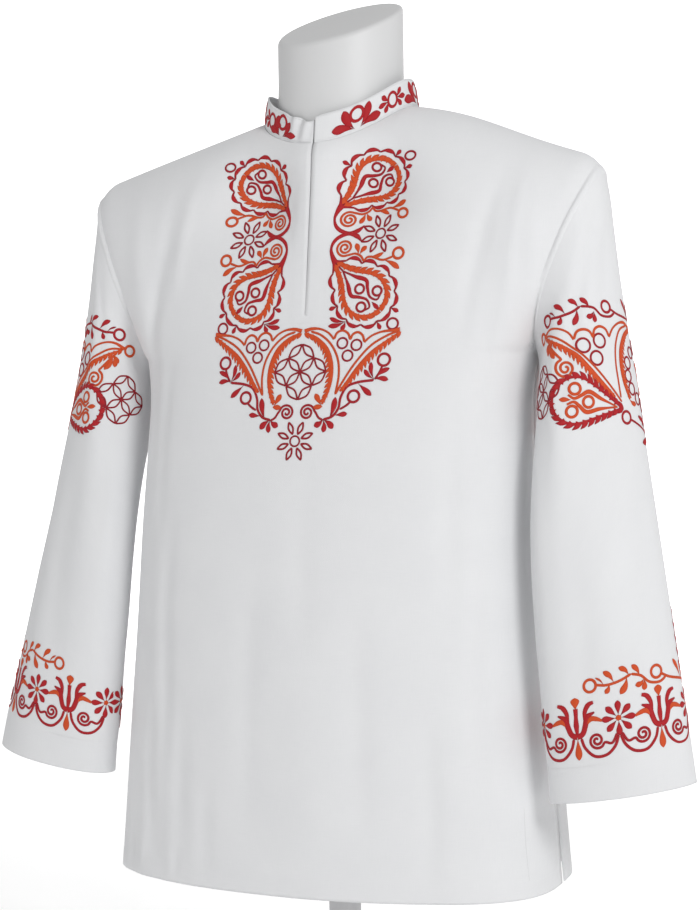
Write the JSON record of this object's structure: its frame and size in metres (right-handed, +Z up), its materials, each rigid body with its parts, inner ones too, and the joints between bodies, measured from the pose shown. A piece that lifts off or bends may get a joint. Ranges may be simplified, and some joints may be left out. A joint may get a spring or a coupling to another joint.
{
  "type": "embroidered folk shirt on a dress form",
  "caption": "White collarless folk shirt with straight wide sleeves, a front slit and red and orange embroidery, worn on a limbless dress form with a pole and round base.",
  "frame": {"origin": "centre of the whole object's box, on the floor under the base", "axes": "+Z up, the shirt's front towards -Y, the wearer's left towards +X"},
  "size_m": [0.7276, 0.32, 1.1204],
  "materials": {
    "shirt_cloth": "plain-woven white linen and cotton, matt, softly pressed",
    "red_thread": "red satin-stitch embroidery thread with a soft sheen",
    "orange_thread": "orange satin-stitch embroidery thread with a soft sheen",
    "form_shell": "smooth pale grey shell, satin",
    "stand_paint": "pale grey powder coat"
  },
  "bodies": {
    "root": {"front": "shirt_cloth", "back": "shirt_cloth", "sleeve_left": "shirt_cloth", "sleeve_right": "shirt_cloth", "collar_band": "shirt_cloth", "dress_form": "form_shell", "stand_pole": "stand_paint", "stand_base": "stand_paint"}
  },
  "joints": []
}
